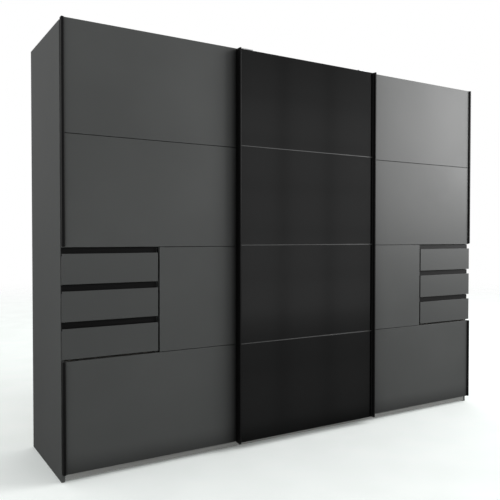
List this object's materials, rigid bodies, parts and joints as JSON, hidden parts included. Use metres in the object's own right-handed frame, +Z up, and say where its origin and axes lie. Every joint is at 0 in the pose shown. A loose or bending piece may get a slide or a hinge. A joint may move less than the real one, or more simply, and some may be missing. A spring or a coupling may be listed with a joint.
{
  "type": "sliding door wardrobe",
  "caption": "Wide sliding-door wardrobe: graphite outer doors, dark glass middle door in front, vertical black handle strips and drawers let into the outer doors.",
  "frame": {"origin": "middle of the underside of the whole object's box, on the floor", "axes": "+X to the right along the front, +Y towards the back, +Z up; the doors face -Y"},
  "size_m": [2.7, 0.638, 2.0865],
  "materials": {
    "side_panel_left": "smooth melamine, dark grey",
    "side_panel_right": "smooth melamine, dark grey",
    "partition_left": "fine linen-print melamine",
    "partition_right": "fine linen-print melamine",
    "top_panel": "fine linen-print melamine",
    "bottom_panel": "fine linen-print melamine",
    "back_panels": "thin fibreboard",
    "shelves": "fine linen-print melamine",
    "shelf_pins": "zinc plated",
    "clothes_rails": "chromed oval tube",
    "rail_sockets": "moulded",
    "base_guide_rail": "bronze-grey anodised",
    "rear_base_rail": "melamine",
    "feet": "moulded",
    "top_track": "anodised extrusion",
    "track_buffers": "soft",
    "drawer_housing_left": "fine linen-print melamine",
    "drawer_housing_right": "fine linen-print melamine",
    "cabinet_runners": "rolled, zinc plated",
    "left_door_board": "melamine",
    "left_door_face_panels": "satin graphite foil",
    "left_door_handle_strips": "black anodised",
    "left_door_hangers": "zinc plated",
    "left_door_guides": "moulded",
    "right_door_board": "melamine",
    "right_door_face_panels": "satin graphite foil",
    "right_door_handle_strips": "black anodised",
    "right_door_hangers": "zinc plated",
    "right_door_guides": "moulded",
    "middle_door_board": "melamine",
    "middle_door_glass": "back-painted dark glass",
    "middle_door_separating_bars": "anodised grey",
    "middle_door_handle_strips": "black anodised",
    "middle_door_hangers": "zinc plated",
    "middle_door_guides": "moulded",
    "left_door_roller_1": "moulded nylon",
    "left_door_roller_2": "moulded nylon",
    "right_door_roller_1": "moulded nylon",
    "right_door_roller_2": "moulded nylon",
    "middle_door_roller_1": "moulded nylon",
    "middle_door_roller_2": "moulded nylon",
    "drawer_left_1_front": "satin graphite foil",
    "drawer_left_1_grip": "black anodised",
    "drawer_left_1_box": "fine linen-print foil",
    "drawer_left_2_front": "satin graphite foil",
    "drawer_left_2_grip": "black anodised",
    "drawer_left_2_box": "fine linen-print foil",
    "drawer_left_3_front": "satin graphite foil",
    "drawer_left_3_grip": "black anodised",
    "drawer_left_3_box": "fine linen-print foil",
    "drawer_right_1_front": "satin graphite foil",
    "drawer_right_1_grip": "black anodised",
    "drawer_right_1_box": "fine linen-print foil",
    "drawer_right_2_front": "satin graphite foil",
    "drawer_right_2_grip": "black anodised",
    "drawer_right_2_box": "fine linen-print foil",
    "drawer_right_3_front": "satin graphite foil",
    "drawer_right_3_grip": "black anodised",
    "drawer_right_3_box": "fine linen-print foil"
  },
  "bodies": {
    "carcass": {"side_panel_left": "side_panel_left", "side_panel_right": "side_panel_right", "partition_left": "partition_left", "partition_right": "partition_right", "top_panel": "top_panel", "bottom_panel": "bottom_panel", "back_panels": "back_panels", "shelves": "shelves", "shelf_pins": "shelf_pins", "clothes_rails": "clothes_rails", "rail_sockets": "rail_sockets", "base_guide_rail": "base_guide_rail", "rear_base_rail": "rear_base_rail", "feet": "feet", "top_track": "top_track", "track_buffers": "track_buffers", "drawer_housing_left": "drawer_housing_left", "drawer_housing_right": "drawer_housing_right", "cabinet_runners": "cabinet_runners"},
    "left_door": {"left_door_board": "left_door_board", "left_door_face_panels": "left_door_face_panels", "left_door_handle_strips": "left_door_handle_strips", "left_door_hangers": "left_door_hangers", "left_door_guides": "left_door_guides"},
    "right_door": {"right_door_board": "right_door_board", "right_door_face_panels": "right_door_face_panels", "right_door_handle_strips": "right_door_handle_strips", "right_door_hangers": "right_door_hangers", "right_door_guides": "right_door_guides"},
    "middle_door": {"middle_door_board": "middle_door_board", "middle_door_glass": "middle_door_glass", "middle_door_separating_bars": "middle_door_separating_bars", "middle_door_handle_strips": "middle_door_handle_strips", "middle_door_hangers": "middle_door_hangers", "middle_door_guides": "middle_door_guides"},
    "left_door_roller_1": {"left_door_roller_1": "left_door_roller_1"},
    "left_door_roller_2": {"left_door_roller_2": "left_door_roller_2"},
    "right_door_roller_1": {"right_door_roller_1": "right_door_roller_1"},
    "right_door_roller_2": {"right_door_roller_2": "right_door_roller_2"},
    "middle_door_roller_1": {"middle_door_roller_1": "middle_door_roller_1"},
    "middle_door_roller_2": {"middle_door_roller_2": "middle_door_roller_2"},
    "drawer_left_1": {"drawer_left_1_front": "drawer_left_1_front", "drawer_left_1_grip": "drawer_left_1_grip", "drawer_left_1_box": "drawer_left_1_box"},
    "drawer_left_2": {"drawer_left_2_front": "drawer_left_2_front", "drawer_left_2_grip": "drawer_left_2_grip", "drawer_left_2_box": "drawer_left_2_box"},
    "drawer_left_3": {"drawer_left_3_front": "drawer_left_3_front", "drawer_left_3_grip": "drawer_left_3_grip", "drawer_left_3_box": "drawer_left_3_box"},
    "drawer_right_1": {"drawer_right_1_front": "drawer_right_1_front", "drawer_right_1_grip": "drawer_right_1_grip", "drawer_right_1_box": "drawer_right_1_box"},
    "drawer_right_2": {"drawer_right_2_front": "drawer_right_2_front", "drawer_right_2_grip": "drawer_right_2_grip", "drawer_right_2_box": "drawer_right_2_box"},
    "drawer_right_3": {"drawer_right_3_front": "drawer_right_3_front", "drawer_right_3_grip": "drawer_right_3_grip", "drawer_right_3_box": "drawer_right_3_box"}
  },
  "joints": [
    {"name": "left_door_slide", "type": "slide", "parent": "carcass", "child": "left_door", "axis": [1, 0, 0], "range_m": [0, 0.858]},
    {"name": "right_door_slide", "type": "slide", "parent": "carcass", "child": "right_door", "axis": [1, 0, 0], "range_m": [-0.858, 0]},
    {"name": "middle_door_slide", "type": "slide", "parent": "carcass", "child": "middle_door", "axis": [1, 0, 0], "range_m": [-0.872, 0.86]},
    {"name": "drawer_left_1_slide", "type": "slide", "parent": "carcass", "child": "drawer_left_1", "axis": [0, -1, 0], "range_m": [0, 0.35]},
    {"name": "drawer_left_2_slide", "type": "slide", "parent": "carcass", "child": "drawer_left_2", "axis": [0, -1, 0], "range_m": [0, 0.35]},
    {"name": "drawer_left_3_slide", "type": "slide", "parent": "carcass", "child": "drawer_left_3", "axis": [0, -1, 0], "range_m": [0, 0.35]},
    {"name": "drawer_right_1_slide", "type": "slide", "parent": "carcass", "child": "drawer_right_1", "axis": [0, 1, 0], "range_m": [-0.35, 0]},
    {"name": "drawer_right_2_slide", "type": "slide", "parent": "carcass", "child": "drawer_right_2", "axis": [0, 1, 0], "range_m": [-0.35, 0]},
    {"name": "drawer_right_3_slide", "type": "slide", "parent": "carcass", "child": "drawer_right_3", "axis": [0, 1, 0], "range_m": [-0.35, 0]},
    {"name": "left_door_roller_1_turn", "type": "hinge", "parent": "left_door", "child": "left_door_roller_1", "pos_m": [-1.279, -0.237, 2.0675], "axis": [0, 1, 0], "range_deg": [0, 5175.7]},
    {"name": "left_door_roller_2_turn", "type": "hinge", "parent": "left_door", "child": "left_door_roller_2", "pos_m": [-0.501, -0.237, 2.0675], "axis": [0, 1, 0], "range_deg": [0, 5175.7]},
    {"name": "right_door_roller_1_turn", "type": "hinge", "parent": "right_door", "child": "right_door_roller_1", "pos_m": [1.279, -0.237, 2.0675], "axis": [0, 1, 0], "range_deg": [-5175.7, 0]},
    {"name": "right_door_roller_2_turn", "type": "hinge", "parent": "right_door", "child": "right_door_roller_2", "pos_m": [0.501, -0.237, 2.0675], "axis": [0, 1, 0], "range_deg": [-5175.7, 0]},
    {"name": "middle_door_roller_1_turn", "type": "hinge", "parent": "middle_door", "child": "middle_door_roller_1", "pos_m": [-0.389, -0.211, 2.0675], "axis": [0, 1, 0], "range_deg": [-5260.2, 5187.8]},
    {"name": "middle_door_roller_2_turn", "type": "hinge", "parent": "middle_door", "child": "middle_door_roller_2", "pos_m": [0.401, -0.211, 2.0675], "axis": [0, 1, 0], "range_deg": [-5260.2, 5187.8]}
  ],
  "couplings": [
    {"joint": "left_door_roller_1_turn", "follows": "left_door_slide", "rad_per_m": 105.26},
    {"joint": "left_door_roller_2_turn", "follows": "left_door_slide", "rad_per_m": 105.26},
    {"joint": "right_door_roller_1_turn", "follows": "right_door_slide", "rad_per_m": 105.26},
    {"joint": "right_door_roller_2_turn", "follows": "right_door_slide", "rad_per_m": 105.26},
    {"joint": "middle_door_roller_1_turn", "follows": "middle_door_slide", "rad_per_m": 105.26},
    {"joint": "middle_door_roller_2_turn", "follows": "middle_door_slide", "rad_per_m": 105.26}
  ]
}
